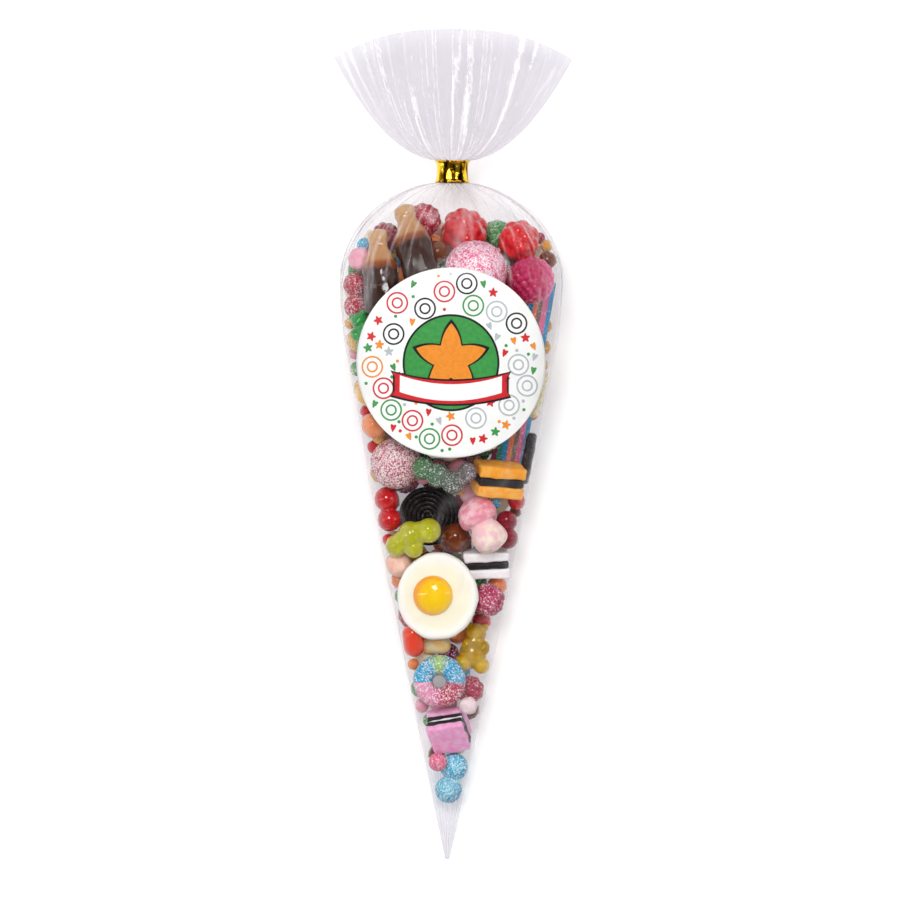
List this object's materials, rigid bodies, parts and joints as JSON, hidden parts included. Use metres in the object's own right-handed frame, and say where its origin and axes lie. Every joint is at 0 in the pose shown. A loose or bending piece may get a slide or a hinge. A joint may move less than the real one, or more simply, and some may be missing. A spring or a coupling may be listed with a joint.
{
  "type": "clear film cone bag of mixed sweets",
  "caption": "Clear film cone bag filled with mixed sweets, its neck gathered and held by a gold band below a pleated fan top, with a round sticker on the front.",
  "frame": {"origin": "on the plane it rests on, under the middle of its length and width", "axes": "+Y along the bag from its closed tip to the fan, +Z out of the front with the sticker"},
  "size_m": [0.1018, 0.355, 0.0586],
  "materials": {
    "clear_film": "gloss",
    "gold_foil": "polished",
    "sticker_paper": "gloss coated",
    "red_jelly": "gloss jelly",
    "cherry_sugar": "sugared jelly",
    "pink_sugar": "sugared jelly",
    "blue_sugar": "sugared jelly",
    "green_sugar": "sugared jelly",
    "amber_sugar": "sugared jelly",
    "lime_jelly": "gloss jelly",
    "orange_jelly": "gloss jelly",
    "cola_jelly": "gloss jelly",
    "liquorice": "waxed liquorice",
    "pink_foam": "soft foam",
    "cream_foam": "soft foam",
    "orange_paste": "sugar paste",
    "pink_paste": "sugar paste",
    "white_paste": "sugar paste",
    "sour_strip": "sugared strip"
  },
  "bodies": {
    "root": {"film_bag": "clear_film", "neck_band": "gold_foil", "sticker": "sticker_paper", "fried_egg": "cream_foam", "mushroom": "pink_foam", "orange_allsort": "orange_paste", "lime_baby": "lime_jelly", "cola_ball": "cola_jelly", "blue_baby": "blue_sugar", "pink_allsort": "pink_paste", "sour_ring": "blue_sugar", "yellow_bear": "amber_sugar", "liquorice_wheel": "liquorice", "white_allsort": "white_paste", "crocodile": "green_sugar", "plum_ball": "cherry_sugar", "sour_belt": "sour_strip", "cola_bottle_middle": "cola_jelly", "cola_bottle_left": "cola_jelly", "pink_dome": "pink_sugar", "magenta_berry": "pink_sugar", "red_berry_right": "red_jelly", "red_berry_middle": "red_jelly", "red_baby": "red_jelly", "raspberry": "cherry_sugar", "small_cherries": "cherry_sugar", "dark_cherries": "red_jelly", "peach_foam": "pink_foam", "coral_jelly": "orange_jelly", "cream_foam": "cream_foam", "pink_berry": "cherry_sugar", "pale_foam": "pink_foam", "pink_jelly": "pink_sugar", "liquorice_stick": "liquorice", "beige_worm": "cream_foam", "lemon_worm": "amber_sugar", "orange_jelly": "orange_jelly", "yellow_jelly": "amber_sugar", "green_bear": "green_sugar", "cherries": "cherry_sugar", "pink_foam": "pink_foam", "wine_berry": "cherry_sugar", "top_raspberry": "cherry_sugar", "toffee": "cola_jelly", "olive_jelly": "amber_sugar", "back_heart": "red_jelly", "back_bottle": "cola_jelly", "back_berry": "cherry_sugar", "back_bear": "lime_jelly", "back_ring": "orange_jelly", "back_allsort": "pink_paste", "back_wheel": "liquorice", "back_baby": "green_sugar", "back_dome": "pink_sugar", "back_cherries": "cherry_sugar", "back_raspberry": "cherry_sugar", "back_bean": "orange_jelly", "back_jelly": "green_sugar", "back_heart_small": "red_jelly", "back_berry_low": "cherry_sugar"}
  },
  "joints": []
}
